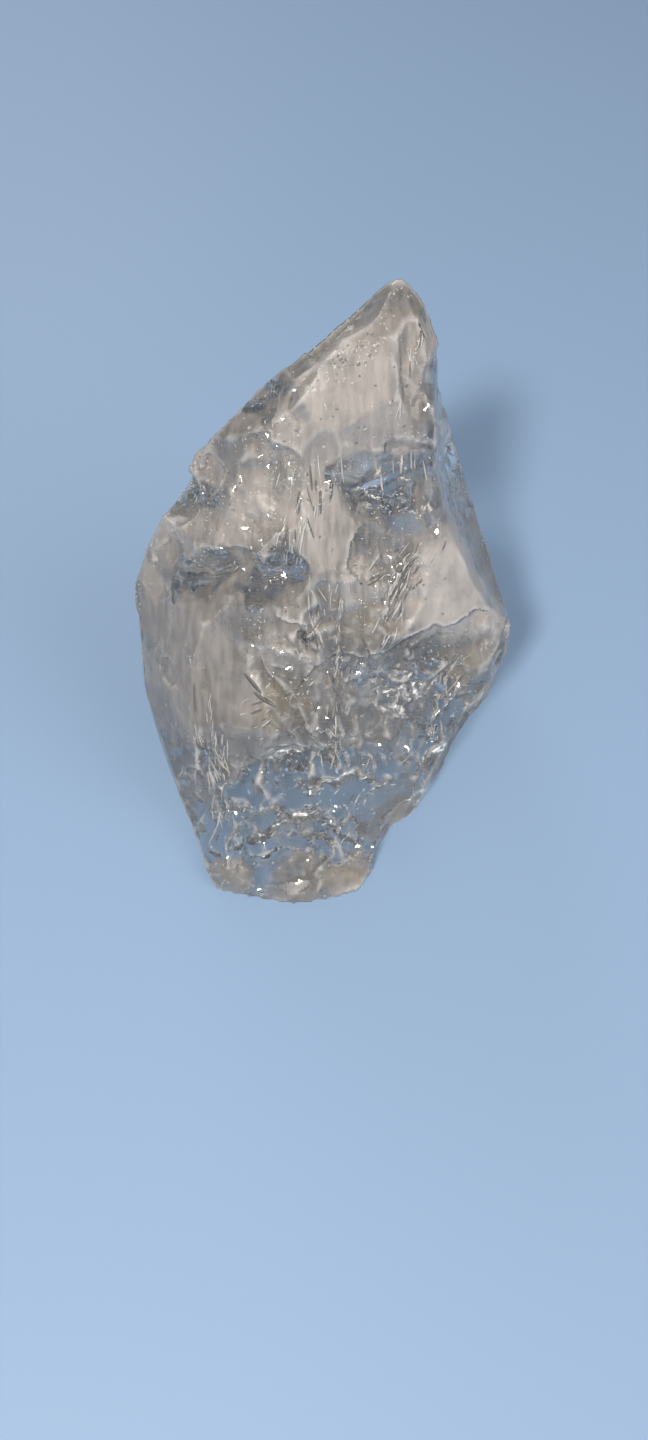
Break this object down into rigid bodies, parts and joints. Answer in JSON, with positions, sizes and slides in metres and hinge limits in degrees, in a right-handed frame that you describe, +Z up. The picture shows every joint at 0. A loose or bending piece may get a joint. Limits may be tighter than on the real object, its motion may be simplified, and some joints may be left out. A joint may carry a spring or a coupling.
{
  "type": "quartz crystal",
  "caption": "Rough broken chunk of clear to milky quartz, taller than wide, rising to a leaning blunt point from a flat broken base it stands on.",
  "frame": {"origin": "under the middle of the crystal's bounding box, on the plane of the broken base that it stands on", "axes": "+Z up towards the point, -Y out of the broad sloping front face, +X to the right when the front is faced"},
  "size_m": [0.065, 0.0661, 0.084],
  "materials": {
    "clear_quartz": "colourless quartz, clear in places and milky grey-beige in others, with glassy shell-shaped breaks, frosted faces and inner cracks that glitter"
  },
  "bodies": {
    "root": {"quartz_chunk": "clear_quartz"}
  },
  "joints": []
}
